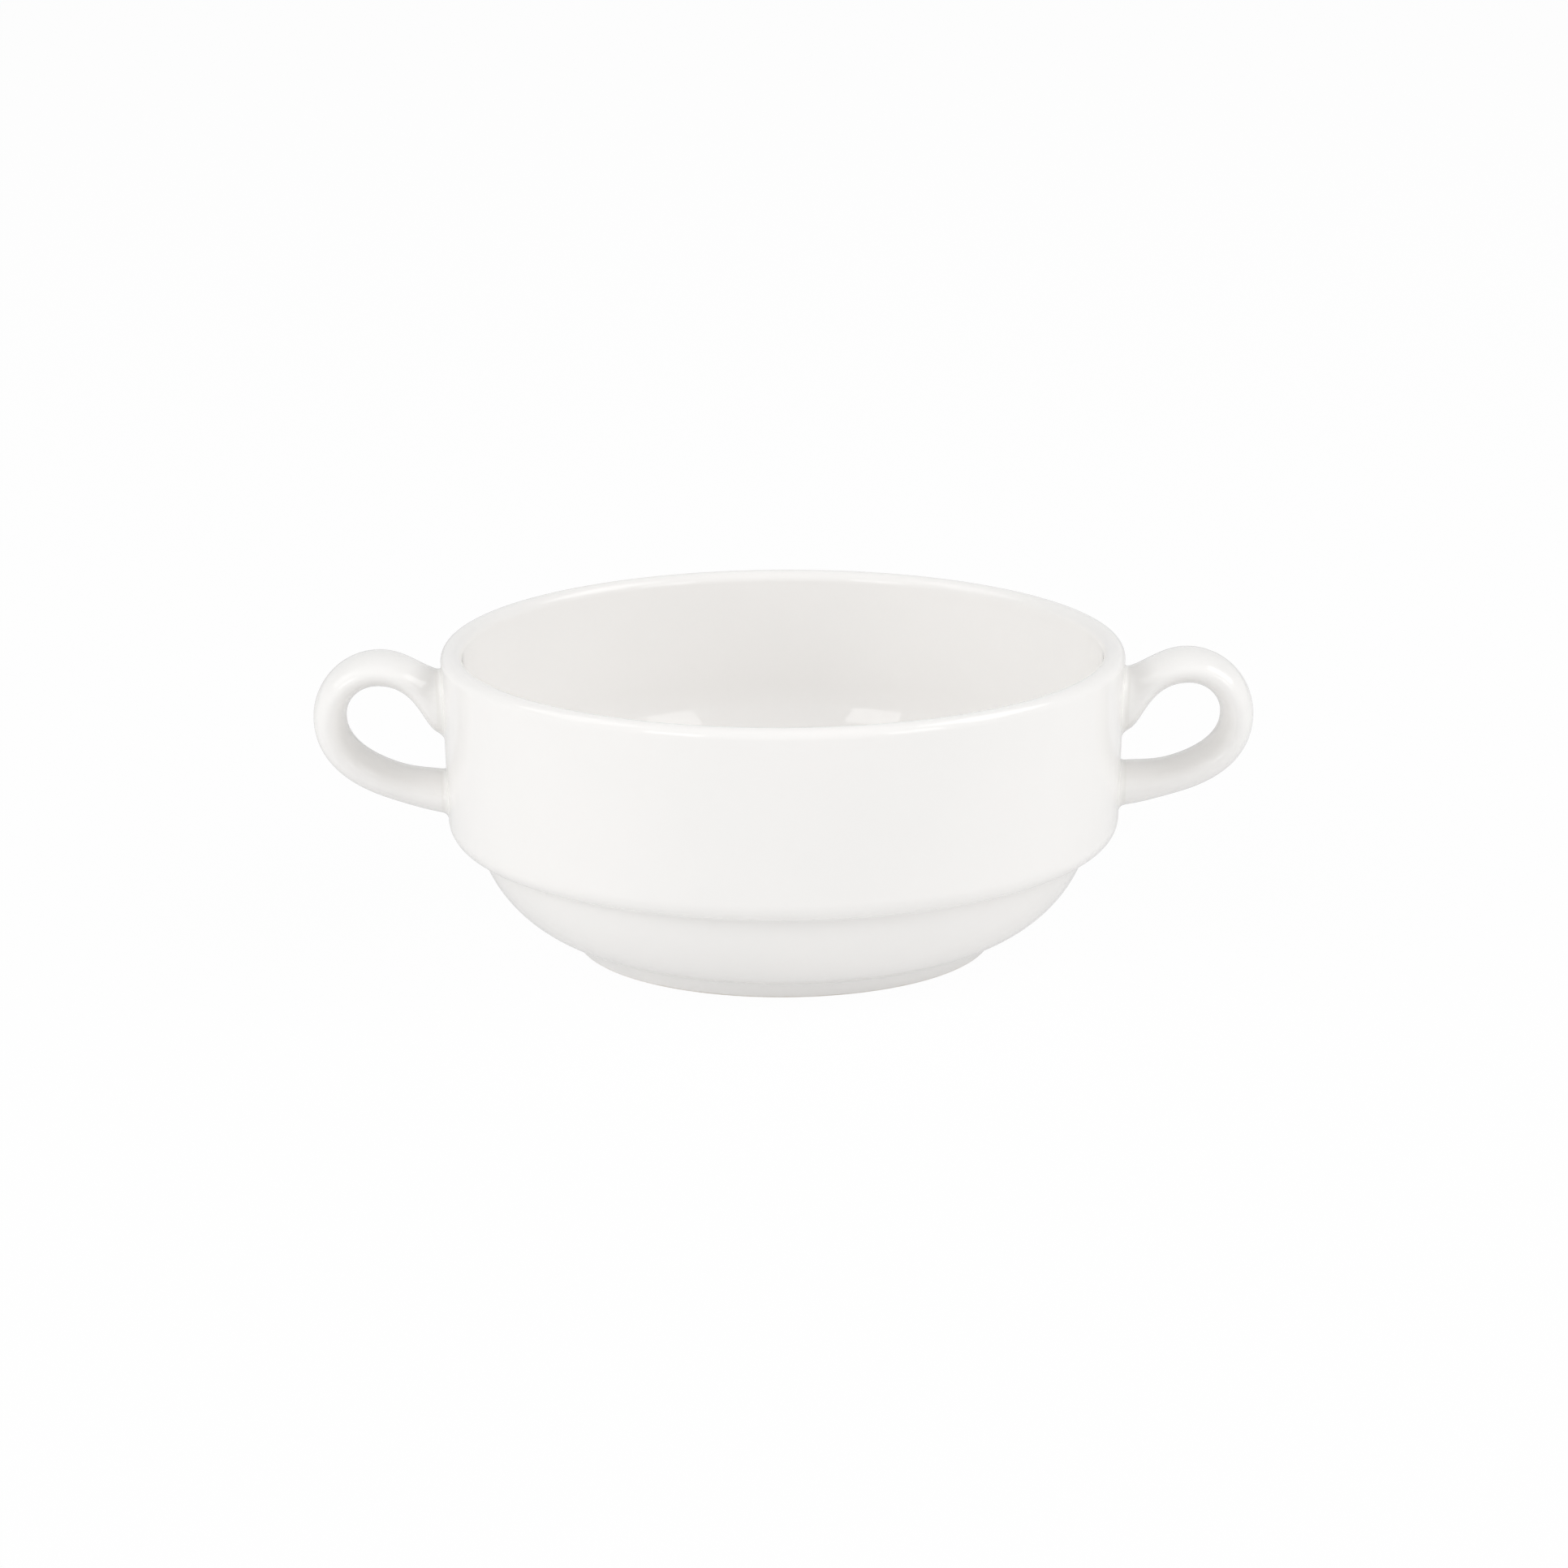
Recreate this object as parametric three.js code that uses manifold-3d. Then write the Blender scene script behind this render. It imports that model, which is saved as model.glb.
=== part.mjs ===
// Stacking consomme bowl in glazed white porcelain.
// A formed bowl body carries two cast ear handles, and a film of casting slip lutes each handle root
// to the wall. Millimetres, +Z up: the origin is the middle of the foot on the table, and the two
// handles lie along X.
import * as THREE from "three";
import { mergeVertices } from "three/addons/utils/BufferGeometryUtils.js";
import Module from "manifold-3d";

// Driving dimensions of the bowl body
const rimDiameter = 110; // across the outside of the lip
const bowlHeight = 49; // table to the top of the lip
const wallThickness = 3.5; // the lip is a full round of this width
const bandDraft = 0.85; // radius lost from the lip down to the lower corner of the band
const bandCornerRadius = 3.3;
const ledgeHeight = 18; // the underside of the band, which sits on the lip of the bowl below
const ledgeWidth = 4.8; // from the outside of the band in to the well, corner included
const ledgeCoveRadius = 0.8;
const wellBulge = 2.5; // swell of the well's outside past a straight cone
const shoulderHeight = 17; // the long soft step inside the bowl, behind the ledge
const shoulderLift = 3.5; // middle of that step above the ledge
const shoulderInset = 5.5; // foot of that step in from the outside of the well's top
const shoulderTopEase = 9.2; // pull of the step's curve straight down from the band
const shoulderFootEase = 5; // pull of its curve straight up from the well
const floorDiameter = 54; // flat of the floor inside the bowl
const floorThickness = 3.7;

// Driving dimensions of the foot ring
const footHeight = 3;
const footNeckDiameter = 71.8; // where the well meets the foot
const footBaseDiameter = 67.4; // across the outside of the foot on the table
const footRingWidth = 3.8;
const footEdgeRadius = 0.6;
const footCoveWidth = 1.8; // rounding between the foot and the underside of the floor
const footRecess = 2; // table to the underside of the floor

// Driving dimensions of an ear handle, followed along the middle of its strap
const handleReach = 20.8; // outside of the lip to the outside of the loop
const handleBelowRim = 0.9; // top of the loop below the top of the lip
const crownRadius = 8; // the turn from the crest of the loop to its outermost point
const upperRootDrop = 9.9; // top of the lip down to the middle of the upper root
const upperRootAngle = 53; // degrees, how steeply the strap climbs from the upper root
const upperRootEase = 5.1; // pull of the strap along that climb
const crestEase = 3.8; // pull of the strap along the level crest
const lowerRootDrop = 24.1; // top of the lip down to the middle of the lower root
const lowerRootAngle = 7; // degrees
const lowerRootEase = 10.2;
const tipEase = 7.6; // pull of the strap straight down from its outermost point
const strapThickness = 5.4;
const strapWidth = 12.5;
const strapSquareness = 2.2; // 2 is an ellipse, more is squarer
const upperRootThickness = 7; // square to the strap, where it meets the wall
const lowerRootThickness = 6.5;
const rootWidth = 14;
const rootFlare = 6.2; // length of strap over which a root swells

// Driving dimensions of the slip that lutes a root to the wall
const slipThickness = 0.6;
const slipBead = 0.5; // slip standing proud all round the root
const seatGap = 0.3; // between the wall, the slip and the root

// Fineness of the facets
const roundSegments = 72;
const strapStations = 42;
const strapSides = 16;

const rimRadius = rimDiameter / 2;
const lipRadius = wallThickness / 2;
const lipCentreHeight = bowlHeight - lipRadius;
const bandCornerTop = ledgeHeight + bandCornerRadius;
const bandFootRadius = rimRadius - bandDraft;
const rootBury = upperRootThickness; // length of strap drawn inside the wall, then trimmed off

const point = (radius, height) => new THREE.Vector2(radius, height);

// An arc of an ellipse, as points, from one angle to another in degrees.
function ellipseArc(centre, radiusAcross, radiusUp, from, to, steps) {
  const start = THREE.MathUtils.degToRad(from);
  const end = THREE.MathUtils.degToRad(to);
  const curve = new THREE.EllipseCurve(
    centre.x, centre.y, radiusAcross, radiusUp, start, end, to < from,
  );
  return curve.getPoints(steps);
}

// A circular arc between two points that swells to the right of the way from one to the other.
function swellingArc(from, to, bulge, steps) {
  const chord = to.clone().sub(from);
  const radius = chord.lengthSq() / (8 * bulge) + bulge / 2;
  const outward = point(chord.y, -chord.x).normalize();
  const centre = from.clone().lerp(to, 0.5).addScaledVector(outward, bulge - radius);
  const start = from.clone().sub(centre).angle();
  const end = to.clone().sub(centre).angle();
  const turn = THREE.MathUtils.euclideanModulo(end - start, 2 * Math.PI);
  return new THREE.EllipseCurve(
    centre.x, centre.y, radius, radius, start, start + turn,
  ).getPoints(steps);
}

// The solid between a profile and the axis, turned about Z. The profile runs anticlockwise.
function revolve(profile) {
  const distinct = profile.filter((p, i) => i === 0 || p.distanceTo(profile[i - 1]) > 1e-6);
  return new THREE.LatheGeometry(distinct, roundSegments).rotateX(Math.PI / 2);
}

// The bowl body, from the middle of its underside out over the foot, up the outside, over the lip,
// and down the inside to the middle of its floor.
function bowlBodyGeometry() {
  const footBaseRadius = footBaseDiameter / 2;
  const footInnerRadius = footBaseRadius - footRingWidth;
  const footCoveCentre = point(footInnerRadius - footCoveWidth, footEdgeRadius);
  const footInnerEdge = point(footInnerRadius + footEdgeRadius, footEdgeRadius);
  const footOuterEdge = point(footBaseRadius - footEdgeRadius, footEdgeRadius);
  const wellRadius = bandFootRadius - ledgeWidth;
  const wellTop = point(wellRadius, ledgeHeight - ledgeCoveRadius);
  const ledgeCoveCentre = point(wellRadius + ledgeCoveRadius, wellTop.y);
  const bandCorner = point(bandFootRadius - bandCornerRadius, bandCornerTop);
  const lipCentre = point(rimRadius - lipRadius, lipCentreHeight);

  const shoulderMiddle = ledgeHeight + shoulderLift;
  const shoulderTopHeight = shoulderMiddle + shoulderHeight / 2;
  const shoulderTop = point(bandRadiusAt(shoulderTopHeight) - wallThickness, shoulderTopHeight);
  const shoulderFoot = point(wellRadius - shoulderInset, shoulderMiddle - shoulderHeight / 2);
  const shoulder = new THREE.CubicBezierCurve(
    shoulderTop,
    point(shoulderTop.x, shoulderTop.y - shoulderTopEase),
    point(shoulderFoot.x, shoulderFoot.y + shoulderFootEase),
    shoulderFoot,
  );
  const floorHeight = footRecess + floorThickness;
  const floorEdge = point(floorDiameter / 2, shoulderFoot.y);
  const wellHollow = [shoulderFoot.x - floorEdge.x, shoulderFoot.y - floorHeight];

  return revolve([
    point(0, footRecess),
    ...ellipseArc(footCoveCentre, footCoveWidth, footRecess - footEdgeRadius, 90, 0, 4),
    ...ellipseArc(footInnerEdge, footEdgeRadius, footEdgeRadius, 180, 270, 2),
    ...ellipseArc(footOuterEdge, footEdgeRadius, footEdgeRadius, 270, 360, 2),
    ...swellingArc(point(footNeckDiameter / 2, footHeight), wellTop, wellBulge, 8),
    ...ellipseArc(ledgeCoveCentre, ledgeCoveRadius, ledgeCoveRadius, 180, 90, 2),
    ...ellipseArc(bandCorner, bandCornerRadius, bandCornerRadius, 270, 360, 5),
    ...ellipseArc(lipCentre, lipRadius, lipRadius, 0, 180, 8),
    ...shoulder.getPoints(9),
    ...ellipseArc(floorEdge, ...wellHollow, 0, -90, 8),
    point(0, floorHeight),
  ]);
}

// Radius of the band's outside at a height.
function bandRadiusAt(height) {
  const climb = (height - bandCornerTop) / (lipCentreHeight - bandCornerTop);
  return bandFootRadius + bandDraft * climb;
}

// The band's outside grown by a distance, between two heights that clear a whole handle.
function bandOffsetEdge(distance) {
  const low = bandCornerTop - bowlHeight;
  const high = bandCornerTop + bowlHeight;
  return [low, high].map((height) => point(bandRadiusAt(height) + distance, height));
}

// The space that the wall and its clearances take, as a solid core.
function bandCoreGeometry(distance) {
  const [low, high] = bandOffsetEdge(distance);
  return revolve([point(0, low.y), low, high, point(0, high.y)]);
}

// A ring of even thickness round the band.
function bandRingGeometry(distance, thickness) {
  const [innerLow, innerHigh] = bandOffsetEdge(distance);
  const [outerLow, outerHigh] = bandOffsetEdge(distance + thickness);
  return revolve([innerLow, outerLow, outerHigh, innerHigh, innerLow]);
}

// The middle line of the right-hand handle's strap: x is away from the bowl's axis and y is height.
// It starts and ends inside the wall, so that the roots can be trimmed to it.
function strapLine() {
  const direction = (degrees) => point(1, 0).rotateAround(point(0, 0), THREE.MathUtils.degToRad(degrees));
  const crestHeight = bowlHeight - handleBelowRim - strapThickness / 2;
  const tipReach = rimRadius + handleReach - strapThickness / 2;
  const crest = point(tipReach - crownRadius, crestHeight);
  const tip = point(tipReach, crestHeight - crownRadius);
  const upperHeight = bowlHeight - upperRootDrop;
  const lowerHeight = bowlHeight - lowerRootDrop;
  const upperRoot = point(bandRadiusAt(upperHeight), upperHeight);
  const lowerRoot = point(bandRadiusAt(lowerHeight), lowerHeight);
  const upperWay = direction(upperRootAngle);
  const lowerWay = direction(lowerRootAngle);
  const upperPull = upperRoot.clone().addScaledVector(upperWay, upperRootEase);
  const lowerPull = lowerRoot.clone().addScaledVector(lowerWay, lowerRootEase);
  const upperStart = upperRoot.clone().addScaledVector(upperWay, -rootBury);
  const lowerEnd = lowerRoot.clone().addScaledVector(lowerWay, -rootBury);
  return new THREE.Path()
    .moveTo(upperStart.x, upperStart.y)
    .lineTo(upperRoot.x, upperRoot.y)
    .bezierCurveTo(upperPull.x, upperPull.y, crest.x - crestEase, crest.y, crest.x, crest.y)
    .absarc(crest.x, tip.y, crownRadius, Math.PI / 2, 0, true)
    .bezierCurveTo(tip.x, tip.y - tipEase, lowerPull.x, lowerPull.y, lowerRoot.x, lowerRoot.y)
    .lineTo(lowerEnd.x, lowerEnd.y);
}

// How much of a root's swelling a place has, from 1 at the wall to 0 past the flare.
function swelling(distanceFromEnd) {
  const share = THREE.MathUtils.clamp(1 - (distanceFromEnd - rootBury) / rootFlare, 0, 1);
  return share * share;
}

// A superellipse section of the strap, as signed shares of its half thickness and half width.
function strapSection() {
  return Array.from({ length: strapSides }, (_, i) => {
    const angle = (2 * Math.PI * i) / strapSides;
    const share = (value) => Math.sign(value) * Math.abs(value) ** (2 / strapSquareness);
    return point(share(Math.cos(angle)), share(Math.sin(angle)));
  });
}

// The strap as one closed skin of rings, grown on all sides by a margin, between two shares of its line.
function strapGeometry(margin, from, to) {
  const line = strapLine();
  const length = line.getLength();
  const section = strapSection();
  const stations = Math.max(4, Math.round(strapStations * (to - from)));
  const places = [];
  for (let station = 0; station <= stations; station += 1) {
    const along = from + ((to - from) * station) / stations;
    const middle = line.getPointAt(along);
    const tangent = line.getTangentAt(along);
    const upperSwell = swelling(along * length);
    const lowerSwell = swelling((1 - along) * length);
    const rootGrowth =
      (upperRootThickness - strapThickness) * upperSwell + (lowerRootThickness - strapThickness) * lowerSwell;
    const halfThickness = (strapThickness + rootGrowth) / 2 + margin;
    const halfWidth = (strapWidth + (rootWidth - strapWidth) * (upperSwell + lowerSwell)) / 2 + margin;
    for (const share of section) {
      const across = share.x * halfThickness;
      places.push(middle.x - tangent.y * across, share.y * halfWidth, middle.y + tangent.x * across);
    }
  }
  const faces = [];
  for (let station = 0; station < stations; station += 1) {
    for (let side = 0; side < strapSides; side += 1) {
      const a = station * strapSides + side;
      const b = station * strapSides + ((side + 1) % strapSides);
      faces.push(a, a + strapSides, b, b, a + strapSides, b + strapSides);
    }
  }
  const last = stations * strapSides;
  for (let side = 1; side < strapSides - 1; side += 1) {
    faces.push(0, side, side + 1, last, last + side + 1, last + side);
  }
  const geometry = new THREE.BufferGeometry();
  geometry.setAttribute("position", new THREE.Float32BufferAttribute(places, 3));
  geometry.setIndex(faces);
  return geometry;
}

const wasm = await Module();
wasm.setup();

function solidOf(geometry) {
  const bare = geometry.clone();
  bare.deleteAttribute("normal");
  bare.deleteAttribute("uv");
  const merged = mergeVertices(bare);
  return new wasm.Manifold(
    new wasm.Mesh({
      numProp: 3,
      vertProperties: merged.attributes.position.array,
      triVerts: new Uint32Array(merged.index.array),
    }),
  );
}

function geometryOf(solid) {
  const mesh = solid.getMesh();
  const geometry = new THREE.BufferGeometry();
  geometry.setAttribute("position", new THREE.BufferAttribute(mesh.vertProperties, 3));
  geometry.setIndex(new THREE.BufferAttribute(mesh.triVerts, 1));
  geometry.computeVertexNormals();
  return geometry;
}

// The loop, with both roots trimmed hollow to the curve of the wall and its slip.
function handleGeometry() {
  const core = bandCoreGeometry(seatGap + slipThickness + seatGap);
  return geometryOf(solidOf(strapGeometry(0, 0, 1)).subtract(solidOf(core)));
}

// The film of slip between the wall and one root, with the bead that is squeezed out round it.
function slipJointGeometry(from, to) {
  const ring = bandRingGeometry(seatGap, slipThickness);
  return geometryOf(solidOf(strapGeometry(slipBead, from, to)).intersect(solidOf(ring)));
}

const glazedBody = { color: 0xf0efeb, roughness: 0.14, metalness: 0 };
const glazedHandle = { color: 0xefeeea, roughness: 0.14, metalness: 0 };
const glazedSlip = { color: 0xedebe6, roughness: 0.2, metalness: 0 };

function piece(name, geometry, finish) {
  const mesh = new THREE.Mesh(geometry, new THREE.MeshStandardMaterial(finish));
  mesh.name = name;
  return mesh;
}

// One handle with its two slip joints, turned about the bowl's axis to its own side.
function handleSide(side, turn) {
  const rootShare = 0.3; // of the strap's line, enough to reach well clear of the slip
  const group = new THREE.Group();
  group.add(
    piece(`${side}_handle`, handleGeometry(), glazedHandle),
    piece(`${side}_upper_slip_joint`, slipJointGeometry(0, rootShare), glazedSlip),
    piece(`${side}_lower_slip_joint`, slipJointGeometry(1 - rootShare, 1), glazedSlip),
  );
  group.rotation.z = turn;
  return group;
}

const consommeBowl = new THREE.Group();
consommeBowl.add(
  piece("bowl_body", bowlBodyGeometry(), glazedBody),
  handleSide("right", 0),
  handleSide("left", Math.PI),
);

export default consommeBowl;
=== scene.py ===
"""A white porcelain stacking consomme bowl with two ear handles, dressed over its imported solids."""
import math

import bmesh
import bpy
from mathutils import Matrix, Vector
from mathutils.geometry import interpolate_bezier


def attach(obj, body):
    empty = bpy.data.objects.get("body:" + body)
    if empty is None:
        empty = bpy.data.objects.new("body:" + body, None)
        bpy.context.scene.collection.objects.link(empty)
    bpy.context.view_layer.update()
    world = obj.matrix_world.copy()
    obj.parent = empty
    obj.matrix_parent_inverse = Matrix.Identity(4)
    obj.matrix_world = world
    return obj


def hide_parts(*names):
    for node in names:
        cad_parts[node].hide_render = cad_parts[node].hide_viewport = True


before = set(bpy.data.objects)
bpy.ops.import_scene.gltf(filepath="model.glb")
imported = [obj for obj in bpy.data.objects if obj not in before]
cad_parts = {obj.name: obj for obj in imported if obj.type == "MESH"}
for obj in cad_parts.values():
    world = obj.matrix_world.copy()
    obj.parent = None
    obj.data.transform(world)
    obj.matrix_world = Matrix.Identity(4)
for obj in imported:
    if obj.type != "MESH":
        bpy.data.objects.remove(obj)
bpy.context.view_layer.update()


# Bowl body: one piece of hard porcelain, pressed between a turning plaster mould and a profile tool, so that
# foot ring, well, stacking ledge, band and lip are one section turned about the axis. It is dipped in clear
# glaze once the handles are on, and its foot is wiped and ground bare so that it doesn't stick in the kiln.
MM = 0.001
rim_radius = 55.0 * MM
bowl_height = 49.0 * MM
lip_radius = 1.75 * MM
band_foot_radius = 54.15 * MM
band_corner_radius = 3.3 * MM
ledge_height = 18.0 * MM
ledge_cove_radius = 1.6 * MM
well_arc_centre = (29.65 * MM, 22.39 * MM)
well_arc_radius = 20.38 * MM
foot_height = 3.0 * MM
foot_base_radius = 33.7 * MM
foot_inner_radius = 29.9 * MM
foot_edge_radius = 0.6 * MM
foot_flank_degrees = 15
foot_neck_softness = 0.7 * MM
foot_recess = 2.0 * MM
foot_cove_width = 1.8 * MM
shoulder_top = (50.935 * MM, 30.0 * MM)
shoulder_foot = (43.85 * MM, 13.0 * MM)
shoulder_pulls = (9.2 * MM, 5.0 * MM)
floor_radius = 27.0 * MM
floor_height = 5.7 * MM
flat_ring_radii = (9.0 * MM, 18.0 * MM)
turning_steps = 216
weld_distance = 0.001 * MM


def arc(centre, radii, start, end, steps):
    """Points of an ellipse about a centre, from one angle in degrees to another."""
    turns = [math.radians(start + (end - start) * step / steps) for step in range(steps + 1)]
    return [(centre[0] + radii[0] * math.cos(turn), centre[1] + radii[1] * math.sin(turn)) for turn in turns]


def bezier(start, start_pull, end_pull, end, steps):
    """Points of a curve that leaves its start and reaches its end along the two pulls."""
    corners = [Vector((across, 0.0, up)) for across, up in (start, start_pull, end_pull, end)]
    return [(place.x, place.z) for place in interpolate_bezier(*corners, steps + 1)]


def well_angle(height):
    """The angle at which the well's outer arc passes a height, in degrees."""
    return math.degrees(math.asin((height - well_arc_centre[1]) / well_arc_radius))


def start_piece(name):
    """A new mesh object of one vertex at the origin, left in edit mode with the vertex selected."""
    bpy.ops.object.select_all(action="DESELECT")
    bpy.ops.mesh.primitive_plane_add(size=MM)
    piece = bpy.context.object
    piece.name = name
    piece.data.name = name
    bpy.ops.object.mode_set(mode="EDIT")
    bpy.ops.mesh.merge(type="CENTER")
    return piece


underside = [(0.0, foot_recess)]
underside += [(radius, foot_recess) for radius in flat_ring_radii]
underside += arc((foot_inner_radius - foot_cove_width, foot_edge_radius),
                 (foot_cove_width, foot_recess - foot_edge_radius), start=90, end=0, steps=8)
foot_edge = (foot_edge_radius, foot_edge_radius)
foot_ring = arc((foot_inner_radius + foot_edge_radius, foot_edge_radius), foot_edge,
                start=180, end=270, steps=6)
foot_ring += arc((foot_base_radius - foot_edge_radius, foot_edge_radius), foot_edge,
                 start=270, end=360 - foot_flank_degrees, steps=6)
ledge_cove_drop = ledge_height - ledge_cove_radius - well_arc_centre[1]
ledge_cove_across = math.sqrt((well_arc_radius + ledge_cove_radius) ** 2 - ledge_cove_drop ** 2)
ledge_cove_angle = math.degrees(math.atan2(ledge_cove_drop, ledge_cove_across))
well_outside = arc(well_arc_centre, (well_arc_radius, well_arc_radius),
                   start=well_angle(foot_height), end=ledge_cove_angle, steps=36)
ledge = arc((well_arc_centre[0] + ledge_cove_across, well_arc_centre[1] + ledge_cove_drop),
            (ledge_cove_radius, ledge_cove_radius), start=180 + ledge_cove_angle, end=90, steps=8)
ledge += arc((band_foot_radius - band_corner_radius, ledge_height + band_corner_radius),
             (band_corner_radius, band_corner_radius), start=270, end=360, steps=20)
lip = arc((rim_radius - lip_radius, bowl_height - lip_radius), (lip_radius, lip_radius),
          start=0, end=180, steps=32)
shoulder = bezier(shoulder_top, (shoulder_top[0], shoulder_top[1] - shoulder_pulls[0]),
                  (shoulder_foot[0], shoulder_foot[1] + shoulder_pulls[1]), shoulder_foot, steps=36)
well_inside = arc((floor_radius, shoulder_foot[1]),
                  (shoulder_foot[0] - floor_radius, shoulder_foot[1] - floor_height),
                  start=0, end=-90, steps=40)
well_inside += [(radius, floor_height) for radius in reversed(flat_ring_radii)]
well_inside += [(0.0, floor_height)]

bowl_body = start_piece("porcelain_bowl_body")
section_places = underside + foot_ring + well_outside + ledge + lip + shoulder + well_inside
bpy.ops.transform.translate(value=(section_places[0][0], 0.0, section_places[0][1]))
for before, after in zip(section_places, section_places[1:]):
    move = {"value": (after[0] - before[0], 0.0, after[1] - before[1])}
    bpy.ops.mesh.extrude_region_move(TRANSFORM_OT_translate=move)
bpy.ops.mesh.select_all(action="SELECT")
bpy.ops.mesh.remove_doubles(threshold=weld_distance)

# The crease over the foot is softened by the glaze that gathers in it.
bpy.ops.mesh.select_all(action="DESELECT")
section = bmesh.from_edit_mesh(bowl_body.data)
neck = Vector((well_outside[0][0], 0.0, well_outside[0][1]))
min(section.verts, key=lambda vertex: (vertex.co - neck).length).select = True
bmesh.update_edit_mesh(bowl_body.data)
bpy.ops.mesh.bevel(affect="VERTICES", offset=foot_neck_softness, segments=6)

bpy.ops.mesh.select_all(action="SELECT")
bpy.ops.mesh.spin(steps=turning_steps, angle=math.tau, center=(0, 0, 0), axis=(0, 0, 1))
bpy.ops.mesh.select_all(action="SELECT")
bpy.ops.mesh.remove_doubles(threshold=weld_distance)
bpy.ops.mesh.normals_make_consistent(inside=False)
bpy.ops.object.mode_set(mode="OBJECT")
bpy.ops.object.shade_smooth()


def linear(code):
    """An sRGB hex colour as the linear values that a shader takes."""
    shares = [int(code[place:place + 2], 16) / 255 for place in (1, 3, 5)]
    return [share / 12.92 if share <= 0.04045 else ((share + 0.055) / 1.055) ** 2.4
            for share in shares] + [1.0]


def add_node(owner, kind, inputs=None, **settings):
    """Adds a node to a material or world with its settings, and fills or links its inputs."""
    tree = owner.node_tree
    node = tree.nodes.new(kind)
    for name, value in settings.items():
        setattr(node, name, value)
    for socket, value in (inputs or {}).items():
        if isinstance(value, bpy.types.NodeSocket):
            tree.links.new(value, node.inputs[socket])
        else:
            node.inputs[socket].default_value = value
    return node


def new_material(name):
    """An empty node material."""
    material = bpy.data.materials.new(name)
    material.use_nodes = True
    material.node_tree.nodes.clear()
    return material


# Glazed hard porcelain: a nearly pure white under a clear glassy coat. The glaze is slightly wavy, as it ran
# before it set, so reflections in it wobble, and its thickness varies, which clouds the white a little.
# The ground foot shows the bare body, matt and a little warmer, with an uneven edge where the glaze stops.
glaze_white = ("#F4F3F1", "#F9F7F5")
bare_body_colour = "#E2DCD2"
cloud_length = 30 * MM
glaze_wave_length = 13 * MM
glaze_wave_depth = 0.003 * MM
glaze_peel_length = 1.6 * MM
glaze_peel_depth = 0.0002 * MM
bare_foot_height = 0.3 * MM
bare_edge_length = 2.5 * MM
bare_edge_waver = 0.3 * MM
glaze_roughness = 0.03
glaze_ior = 1.5
bare_roughness = 0.6
# A mix node has sockets of the same names for numbers and for colours, so its colour sockets go by number.
COLOUR_FACTOR, COLOUR_A, COLOUR_B, COLOUR_RESULT = 0, 6, 7, 2


def clouded_white(material, place, colours):
    """A colour that drifts between two near whites, as the thickness of the glaze does."""
    clouds = add_node(material, "ShaderNodeTexNoise",
                      {"Vector": place, "Scale": 1 / cloud_length, "Detail": 3.0})
    mixed = add_node(material, "ShaderNodeMix",
                     {COLOUR_FACTOR: clouds.outputs["Fac"], COLOUR_A: linear(colours[0]),
                      COLOUR_B: linear(colours[1])}, data_type="RGBA")
    return mixed.outputs[COLOUR_RESULT]


def wavy_glaze(material, place):
    """The glaze's surface: long low waves where it ran, and a much finer peel."""
    waves = add_node(material, "ShaderNodeTexNoise",
                     {"Vector": place, "Scale": 1 / glaze_wave_length, "Detail": 1.0})
    peel = add_node(material, "ShaderNodeTexNoise",
                    {"Vector": place, "Scale": 1 / glaze_peel_length, "Detail": 0.0})
    wave_relief = add_node(material, "ShaderNodeMath", {0: waves.outputs["Fac"], 1: glaze_wave_depth},
                           operation="MULTIPLY")
    relief = add_node(material, "ShaderNodeMath",
                      {0: peel.outputs["Fac"], 1: glaze_peel_depth, 2: wave_relief.outputs[0]},
                      operation="MULTIPLY_ADD")
    return add_node(material, "ShaderNodeBump",
                    {"Height": relief.outputs[0], "Distance": 1.0, "Strength": 1.0}).outputs["Normal"]


glazed_porcelain = new_material("glazed_hard_porcelain")
place = add_node(glazed_porcelain, "ShaderNodeTexCoord").outputs["Object"]
height = add_node(glazed_porcelain, "ShaderNodeSeparateXYZ", {"Vector": place}).outputs["Z"]
waver = add_node(glazed_porcelain, "ShaderNodeTexNoise",
                 {"Vector": place, "Scale": 1 / bare_edge_length, "Detail": 2.0})
wavering_height = add_node(glazed_porcelain, "ShaderNodeMath",
                           {0: waver.outputs["Fac"], 1: -bare_edge_waver, 2: height},
                           operation="MULTIPLY_ADD")
bare = add_node(glazed_porcelain, "ShaderNodeMapRange",
                {"Value": wavering_height.outputs[0], "From Min": bare_foot_height - bare_edge_waver,
                 "From Max": bare_foot_height - bare_edge_waver / 2, "To Min": 1.0, "To Max": 0.0})
body_colour = add_node(glazed_porcelain, "ShaderNodeMix",
                       {COLOUR_FACTOR: bare.outputs["Result"],
                        COLOUR_A: clouded_white(glazed_porcelain, place, glaze_white),
                        COLOUR_B: linear(bare_body_colour)}, data_type="RGBA")
body_roughness = add_node(glazed_porcelain, "ShaderNodeMapRange",
                          {"Value": bare.outputs["Result"],
                           "To Min": glaze_roughness, "To Max": bare_roughness})
porcelain_shader = add_node(glazed_porcelain, "ShaderNodeBsdfPrincipled",
                            {"Base Color": body_colour.outputs[COLOUR_RESULT],
                             "Roughness": body_roughness.outputs["Result"], "IOR": glaze_ior,
                             "Normal": wavy_glaze(glazed_porcelain, place)})
add_node(glazed_porcelain, "ShaderNodeOutputMaterial", {"Surface": porcelain_shader.outputs["BSDF"]})

bowl_body.data.materials.append(glazed_porcelain)
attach(bowl_body, "root")
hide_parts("bowl_body")


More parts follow.
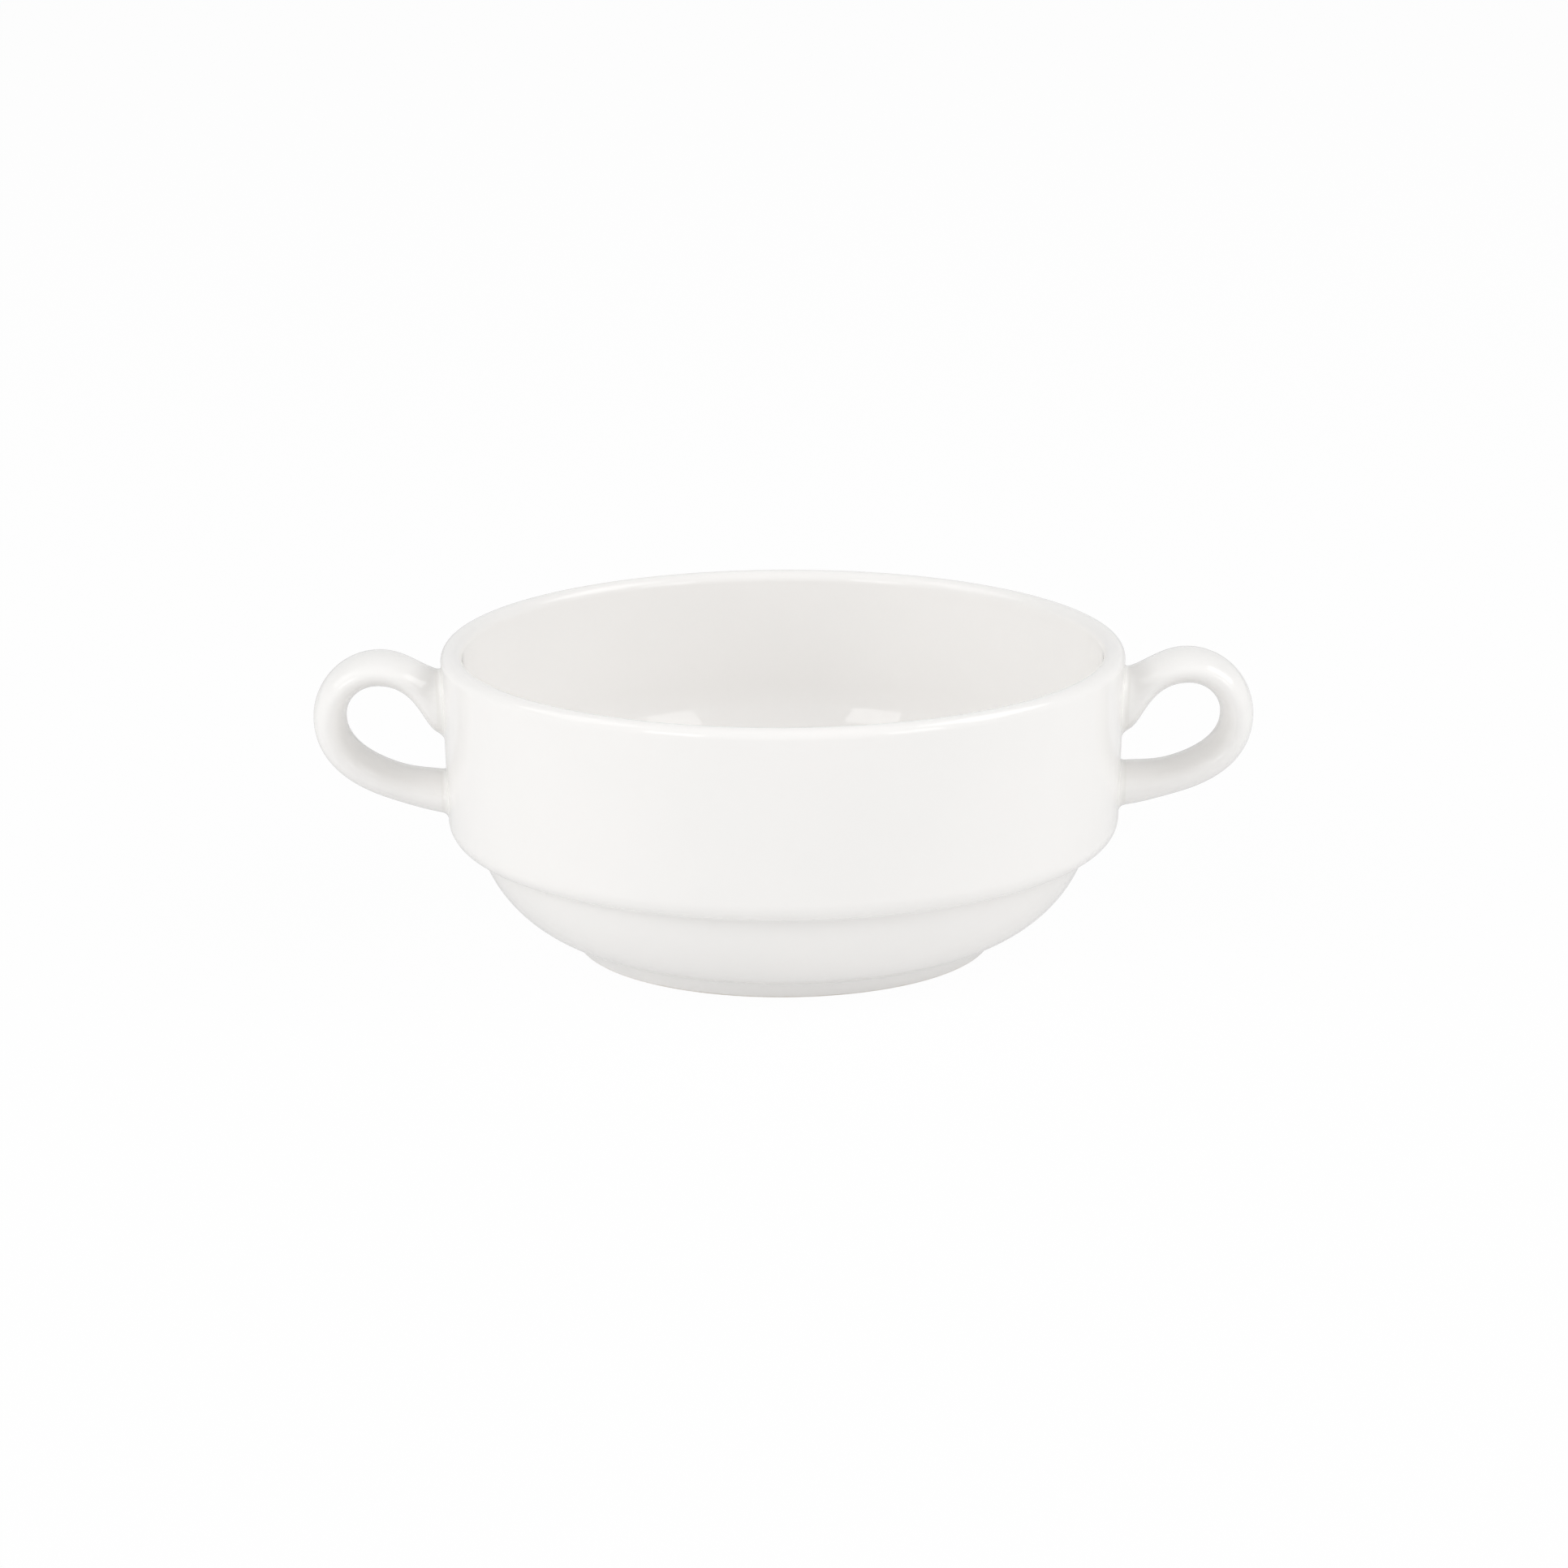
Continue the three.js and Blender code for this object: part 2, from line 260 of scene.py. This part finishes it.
# Ear handles and slip joints: an oval porcelain strap, cast in a plaster mould and bent into a loop. Its two
# roots are cut hollow to fit the band and stuck there with slip, and the slip that squeezes out is wiped into
# a small cove round each root. The handles are set by hand, so the two differ by about a millimetre.
handle_below_rim = 0.9 * MM
crown_radius = 8.0 * MM
strap_half_thickness = 2.65 * MM
strap_half_width = 6.25 * MM
upper_root_top = 44.8 * MM
upper_root_heel = 34.6 * MM
upper_root_angle = math.radians(5)
upper_root_pull = 3.2 * MM
heel_pull = 1.3 * MM
heel_bend = (2.6 * MM, 36.9 * MM)
heel_bend_angle = math.radians(61)
heel_bend_pulls = (0.9 * MM, 3.2 * MM)
crest_pull = 4.4 * MM
tip_pull = 7.6 * MM
lower_root_pull = 10.2 * MM
lower_root_swell_length = 9.0 * MM
lower_root_turn_length = 9.0 * MM
root_half_width = 6.8 * MM
root_widening_length = 6.0 * MM
cove_radius = 1.0 * MM
cove_steps = (0.65, 0.42, 0.24, 0.1, 0.03)
cove_bury = 0.04 * MM
cove_gaps = [cove_radius] + [cove_radius * step for step in cove_steps] + [-cove_bury]
cove_follow_limit = 3.0 * MM
strap_sides = 28
strap_spacing = 0.9 * MM
line_steps = 60
rounding_levels = 2
smooth_angle = math.radians(50)
hand_setting = {
    "right": {"reach": 20.8 * MM, "lower_height": 25.8 * MM, "lower_angle": math.radians(4),
              "lower_half": 3.3 * MM},
    "left": {"reach": 20.7 * MM, "lower_height": 24.85 * MM, "lower_angle": math.radians(7),
             "lower_half": 3.15 * MM},
}


def band_radius(height):
    """The band's outer radius at a height."""
    corner_top = ledge_height + band_corner_radius
    lip_middle = bowl_height - lip_radius
    widening = rim_radius - band_foot_radius
    return band_foot_radius + widening * (height - corner_top) / (lip_middle - corner_top)


def stepped(place, angle, length):
    """The point at a length from another, along an angle."""
    return (place[0] + length * math.cos(angle), place[1] + length * math.sin(angle))


def eased(share):
    """A smooth rise from 0 to 1."""
    share = min(max(share, 0.0), 1.0)
    return share * share * (3 - 2 * share)


def height_on(line, across):
    """The height at which a line that runs outwards passes a distance across."""
    step = max(index for index in range(len(line) - 1) if index == 0 or line[index][0] <= across)
    before, after = line[step], line[step + 1]
    return before[1] + (after[1] - before[1]) * (across - before[0]) / (after[0] - before[0])


def cove_swell(gap):
    """How far the wiped slip stands out from the strap at a gap from the wall."""
    short = cove_radius - max(gap, 0.0)
    return cove_radius - math.sqrt(max(cove_radius ** 2 - short ** 2, 0.0)) + max(-gap, 0.0)


def root_widening(distance):
    """The strap's half width at a distance from a root."""
    return root_half_width + eased(distance / root_widening_length) * (strap_half_width - root_half_width)


def upper_branch(crest):
    """Upright sections from the wall to the crest, each between the strap's upper and lower edges."""
    wall = band_radius((upper_root_top + upper_root_heel) / 2)
    top = (wall, upper_root_top)
    heel = (wall, upper_root_heel)
    bend = (wall + heel_bend[0], heel_bend[1])
    crest_top = (crest[0], crest[1] + strap_half_thickness)
    crest_under = (crest[0], crest[1] - strap_half_thickness)
    upper_edge = bezier(top, stepped(top, upper_root_angle, upper_root_pull),
                        (crest_top[0] - crest_pull, crest_top[1]), crest_top, line_steps)
    lower_edge = bezier(heel, stepped(heel, upper_root_angle, heel_pull),
                        stepped(bend, heel_bend_angle, -heel_bend_pulls[0]), bend, line_steps)
    lower_edge += bezier(bend, stepped(bend, heel_bend_angle, heel_bend_pulls[1]),
                         (crest_under[0] - crest_pull, crest_under[1]), crest_under, line_steps)[1:]
    first_gap = cove_radius + strap_spacing / 2
    run = crest[0] - wall - first_gap
    count = round(run / strap_spacing)
    gaps = [(gap, cove_swell(gap)) for gap in reversed(cove_gaps)]
    gaps += [(first_gap + run * step / count, 0.0) for step in range(count)]
    for gap, swell in gaps:
        upper, lower = height_on(upper_edge, wall + gap), height_on(lower_edge, wall + gap)
        middle = Vector((wall + gap, (upper + lower) / 2))
        yield middle, 0.0, (upper - lower) / 2 + swell, root_widening(gap) + swell


def lower_branch(crest, setting):
    """Sections from the crest round the tip and down to the lower root, where they come upright again."""
    tip = (crest[0] + crown_radius, crest[1] - crown_radius)
    root = (band_radius(setting["lower_height"]), setting["lower_height"])
    line = arc((crest[0], tip[1]), (crown_radius, crown_radius), start=90, end=0, steps=line_steps)
    line += bezier(tip, (tip[0], tip[1] - tip_pull),
                   stepped(root, setting["lower_angle"], lower_root_pull), root, line_steps)[1:]
    line += [stepped(root, setting["lower_angle"], -lower_root_pull)]
    line = [Vector(place) for place in line]
    travelled = [0.0]
    for before, after in zip(line, line[1:]):
        travelled.append(travelled[-1] + (after - before).length)
    length = travelled[-2]
    slope = math.cos(setting["lower_angle"])
    run = length - (cove_radius + strap_spacing / 2) / slope
    count = round(run / strap_spacing)
    places = [(run * step / count, 0.0) for step in range(count + 1)]
    places += [(length - gap / slope, cove_swell(gap)) for gap in cove_gaps]
    for distance, swell in places:
        step = max(index for index in range(len(line) - 1) if travelled[index] <= distance)
        before, after = line[step], line[step + 1]
        middle = before.lerp(after, (distance - travelled[step]) / (travelled[step + 1] - travelled[step]))
        heading = math.atan2(after.y - before.y, after.x - before.x)
        if heading > 0:
            heading -= math.tau
        from_root = length - distance
        facing = heading + (1 - eased(from_root / lower_root_turn_length)) * (-math.pi - heading)
        thickening = 1 - eased(from_root / lower_root_swell_length)
        half_thickness = strap_half_thickness + thickening * (setting["lower_half"] - strap_half_thickness)
        half_cut = half_thickness / math.cos(facing - heading)
        yield middle, facing, half_cut + swell, root_widening(from_root) + swell


def strap_rings(setting):
    """The strap's sections in order: each one's middle, facing, half thickness and half width."""
    crest = (rim_radius + setting["reach"] - strap_half_thickness - crown_radius,
             bowl_height - handle_below_rim - strap_half_thickness)
    return list(upper_branch(crest)) + list(lower_branch(crest, setting))


def select_only(piece):
    """Makes one piece the only one selected, and active."""
    bpy.ops.object.select_all(action="DESELECT")
    piece.select_set(True)
    bpy.context.view_layer.objects.active = piece


# Glaze on the slip joints: the same clear coat, with painted shade: its white is a shade greyer than on the
# strap, standing in for the shade that falls in the crease of each cove.
joint_painted_shade_white = ("#F0EFEC", "#F5F3F0")
joint_glaze_with_painted_shade = new_material("slip_joint_glaze_painted_shade")
place = add_node(joint_glaze_with_painted_shade, "ShaderNodeTexCoord").outputs["Object"]
joint_painted_shade_shader = add_node(joint_glaze_with_painted_shade, "ShaderNodeBsdfPrincipled",
                         {"Base Color": clouded_white(joint_glaze_with_painted_shade, place, joint_painted_shade_white),
                          "Roughness": glaze_roughness, "IOR": glaze_ior,
                          "Normal": wavy_glaze(joint_glaze_with_painted_shade, place)})
add_node(joint_glaze_with_painted_shade, "ShaderNodeOutputMaterial", {"Surface": joint_painted_shade_shader.outputs["BSDF"]})

# Subdivision draws a ring of this many sides inwards, so each is drawn larger by as much.
draw_in = (2 + math.cos(math.tau / strap_sides)) / 3

for side, setting in hand_setting.items():
    rings = strap_rings(setting)
    handle = start_piece(f"{side}_porcelain_handle")
    bpy.ops.mesh.delete(type="VERT")
    for middle, facing, half_thickness, half_width in rings:
        ring_centre = (middle.x, 0.0, middle.y)
        turn = math.pi / 2 - facing
        bpy.ops.mesh.primitive_circle_add(vertices=strap_sides, radius=half_width / draw_in,
                                          location=ring_centre, rotation=(0.0, turn, 0.0))
        bpy.ops.transform.resize(value=(half_thickness / half_width, 1.0, 1.0), center_override=ring_centre,
                                 orient_type="GLOBAL", orient_matrix_type="GLOBAL",
                                 orient_matrix=Matrix.Rotation(turn, 3, "Y"))
    for first_ring in range(len(rings) - 1):
        bpy.ops.mesh.select_all(action="DESELECT")
        strap = bmesh.from_edit_mesh(handle.data)
        strap.verts.ensure_lookup_table()
        for vertex in strap.verts[first_ring * strap_sides:(first_ring + 2) * strap_sides]:
            vertex.select = True
        strap.select_flush(True)
        bmesh.update_edit_mesh(handle.data)
        bpy.ops.mesh.bridge_edge_loops()
    bpy.ops.object.mode_set(mode="OBJECT")

    # The rings of each cove follow the round of the band, each at its own gap from it.
    last_ring = len(rings) - 1
    for index, gap in enumerate(reversed(cove_gaps)):
        cove_ring = handle.vertex_groups.new(name=f"cove_ring_{index}")
        for ring_number in (index, last_ring - index):
            first_corner = ring_number * strap_sides
            cove_ring.add(list(range(first_corner, first_corner + strap_sides)), 1.0, "REPLACE")
        follow = handle.modifiers.new(cove_ring.name, "SHRINKWRAP")
        follow.target = bowl_body
        follow.vertex_group = cove_ring.name
        follow.wrap_method = "PROJECT"
        follow.wrap_mode = "ABOVE_SURFACE"
        follow.use_project_x = True
        follow.use_negative_direction = True
        follow.use_positive_direction = True
        follow.project_limit = cove_follow_limit
        follow.offset = gap
        bpy.ops.object.modifier_apply(modifier=follow.name)

    handle.data.materials.append(glazed_porcelain)
    handle.data.materials.append(joint_glaze_with_painted_shade)
    cove_corners = len(cove_gaps) * strap_sides
    for face in handle.data.polygons:
        in_upper_cove = max(face.vertices) < cove_corners
        in_lower_cove = min(face.vertices) >= len(rings) * strap_sides - cove_corners
        # Cove faces take the second material, whose greyer white is painted shade in the joints.
        face.material_index = 1 if in_upper_cove or in_lower_cove else 0
    handle.vertex_groups.clear()
    rounding = handle.modifiers.new("rounding", "SUBSURF")
    rounding.levels = rounding.render_levels = rounding_levels
    bpy.ops.object.modifier_apply(modifier=rounding.name)

    # The coves are parted from the strap as the two slip joints.
    bpy.ops.object.mode_set(mode="EDIT")
    bpy.ops.mesh.select_all(action="SELECT")
    bpy.ops.mesh.separate(type="MATERIAL")
    bpy.ops.object.mode_set(mode="OBJECT")
    coves = next(part for part in bpy.context.selected_objects if part != handle)
    select_only(coves)
    bpy.ops.object.mode_set(mode="EDIT")
    bpy.ops.mesh.select_all(action="SELECT")
    bpy.ops.mesh.separate(type="LOOSE")
    bpy.ops.object.mode_set(mode="OBJECT")
    lower_joint, upper_joint = sorted(bpy.context.selected_objects,
                                      key=lambda part: max(corner[2] for corner in part.bound_box))
    lower_joint.name = lower_joint.data.name = f"{side}_lower_luting_slip"
    upper_joint.name = upper_joint.data.name = f"{side}_upper_luting_slip"

    # Each piece is closed where it was parted, and the left ones are turned half way round the bowl.
    for part, node, slot in ((handle, "handle", "glazed_porcelain"),
                             (upper_joint, "upper_slip_joint", "luting_slip"),
                             (lower_joint, "lower_slip_joint", "luting_slip")):
        select_only(part)
        bpy.ops.object.mode_set(mode="EDIT")
        bpy.ops.mesh.select_all(action="SELECT")
        bpy.ops.mesh.fill_holes(sides=0)
        bpy.ops.mesh.select_all(action="SELECT")
        bpy.ops.mesh.normals_make_consistent(inside=False)
        bpy.ops.object.mode_set(mode="OBJECT")
        bpy.ops.object.shade_smooth_by_angle(angle=smooth_angle)
        if side == "left":
            part.rotation_euler = (0.0, 0.0, math.pi)
            bpy.ops.object.transform_apply(location=True, rotation=True, scale=True)
        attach(part, "root")
        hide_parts(f"{side}_{node}")


# Studio floor: a sheet of matt white plastic on a light table, which glows faintly from below. It is seen as
# white right to its edges, with the bowl's faint soft shadow on it.
floor_drop = 0.1 * MM
floor_size = 8.0
floor_colour = "#CECECE"
floor_whiteness = 0.95
floor_mirrored_whiteness = 0.45
floor_underglow = 0.297
seen_white = 1.0
bpy.ops.object.select_all(action="DESELECT")
bpy.ops.mesh.primitive_plane_add(size=floor_size, location=(0.0, 0.0, -floor_drop))
floor = bpy.context.object
floor.name = "light_table_sheet"
white_sheet = new_material("matt_white_plastic")
rays = add_node(white_sheet, "ShaderNodeLightPath").outputs
seen_straight = add_node(white_sheet, "ShaderNodeMath",
                         {0: rays["Is Camera Ray"], 1: rays["Is Transmission Ray"]}, operation="ADD")
straight_white = add_node(white_sheet, "ShaderNodeMath",
                          {0: seen_straight.outputs[0], 1: floor_whiteness}, operation="MULTIPLY")
white_share = add_node(white_sheet, "ShaderNodeMath",
                       {0: rays["Is Glossy Ray"], 1: floor_mirrored_whiteness, 2: straight_white.outputs[0]},
                       operation="MULTIPLY_ADD", use_clamp=True)
matt_sheet = add_node(white_sheet, "ShaderNodeBsdfDiffuse", {"Color": linear(floor_colour)})
# The underglow lights the bowl from below, and is left out of what the glaze mirrors.
glow_strength = add_node(white_sheet, "ShaderNodeMath",
                         {0: rays["Is Glossy Ray"], 1: -floor_underglow, 2: floor_underglow},
                         operation="MULTIPLY_ADD")
underglow = add_node(white_sheet, "ShaderNodeEmission", {"Strength": glow_strength.outputs[0]})
glowing_sheet = add_node(white_sheet, "ShaderNodeAddShader",
                         {0: matt_sheet.outputs[0], 1: underglow.outputs[0]})
white_glow = add_node(white_sheet, "ShaderNodeEmission", {"Strength": seen_white})
lit_sheet = add_node(white_sheet, "ShaderNodeMixShader",
                     {0: white_share.outputs[0], 1: glowing_sheet.outputs[0], 2: white_glow.outputs[0]})
add_node(white_sheet, "ShaderNodeOutputMaterial", {"Surface": lit_sheet.outputs[0]})
floor.data.materials.append(white_sheet)


# Studio light: a white room and four pairs of soft boxes, at different strengths left and right. The small
# main pair shows in the glaze as two soft patches in the bowl, and the high pair as gleams on the handles.
# Polarising sheets on the fill pair and the low side pair keep their glare off the glaze.
room_colour = "#FFFFFF"
room_strength = 0.37
room_mirrored_whiteness = 0.8
lamp_distance = 1.5
lamp_aim_height = 30 * MM
world = bpy.data.worlds.new("white_studio")
bpy.context.scene.world = world
world.use_nodes = True
world.node_tree.nodes.clear()
rays = add_node(world, "ShaderNodeLightPath").outputs
seen_straight = add_node(world, "ShaderNodeMath",
                         {0: rays["Is Camera Ray"], 1: rays["Is Transmission Ray"]}, operation="ADD")
white_share = add_node(world, "ShaderNodeMath",
                       {0: rays["Is Glossy Ray"], 1: room_mirrored_whiteness, 2: seen_straight.outputs[0]},
                       operation="MULTIPLY_ADD", use_clamp=True)
dim_room = add_node(world, "ShaderNodeBackground", {"Color": linear(room_colour), "Strength": room_strength})
white_room = add_node(world, "ShaderNodeBackground", {"Color": linear(room_colour), "Strength": seen_white})
studio = add_node(world, "ShaderNodeMixShader",
                  {0: white_share.outputs[0], 1: dim_room.outputs[0], 2: white_room.outputs[0]})
add_node(world, "ShaderNodeOutputWorld", {"Surface": studio.outputs[0]})


def soft_box(name, azimuth, elevation, size, watts, polarised=False):
    """A square area lamp that faces the bowl, from degrees to the right of the front and above the floor."""
    lamp = bpy.data.lights.new(name, "AREA")
    lamp.size = size
    lamp.energy = watts
    box = bpy.data.objects.new(name, lamp)
    bpy.context.scene.collection.objects.link(box)
    around, up = math.radians(azimuth), math.radians(elevation)
    outwards = Vector((math.sin(around) * math.cos(up), -math.cos(around) * math.cos(up), math.sin(up)))
    box.location = Vector((0.0, 0.0, lamp_aim_height)) + lamp_distance * outwards
    box.rotation_euler = outwards.to_track_quat("Z", "Y").to_euler()
    box.visible_glossy = not polarised


soft_box("left_main_soft_box", azimuth=-37, elevation=25, size=0.5, watts=1.75)
soft_box("right_main_soft_box", azimuth=45, elevation=25, size=0.5, watts=1.6)
soft_box("left_fill_soft_box", azimuth=-41, elevation=40, size=0.8, watts=1.85, polarised=True)
soft_box("right_fill_soft_box", azimuth=41, elevation=40, size=0.8, watts=1.95, polarised=True)
soft_box("left_side_soft_box", azimuth=-65, elevation=20, size=0.9, watts=5.6, polarised=True)
soft_box("right_side_soft_box", azimuth=65, elevation=20, size=0.9, watts=3.3, polarised=True)
soft_box("left_high_soft_box", azimuth=-90, elevation=45, size=0.9, watts=2.9)
soft_box("right_high_soft_box", azimuth=90, elevation=45, size=0.9, watts=5.5)


# Camera: a long lens on a stand in front of the bowl and a little above it, at the angle, distance and
# framing found for the photograph.
camera_distance = 0.9
camera_elevation = math.radians(15.23)
camera_roll = math.radians(-0.249)
aim_height = 25.0 * MM
sensor_width_mm = 36.0
lens_length_mm = 127.67
camera_shift = (0.00037, 0.00287)
camera_data = bpy.data.cameras.new("camera")
camera_data.sensor_fit = "HORIZONTAL"
camera_data.sensor_width = sensor_width_mm
camera_data.lens = lens_length_mm
camera_data.shift_x, camera_data.shift_y = camera_shift
camera = bpy.data.objects.new("camera", camera_data)
bpy.context.scene.collection.objects.link(camera)
camera.location = (0.0, -camera_distance * math.cos(camera_elevation),
                   aim_height + camera_distance * math.sin(camera_elevation))
camera.rotation_mode = "ZYX"
camera.rotation_euler = (math.pi / 2 - camera_elevation, 0.0, camera_roll)
bpy.context.scene.camera = camera
bpy.context.scene.view_settings.view_transform = "Standard"
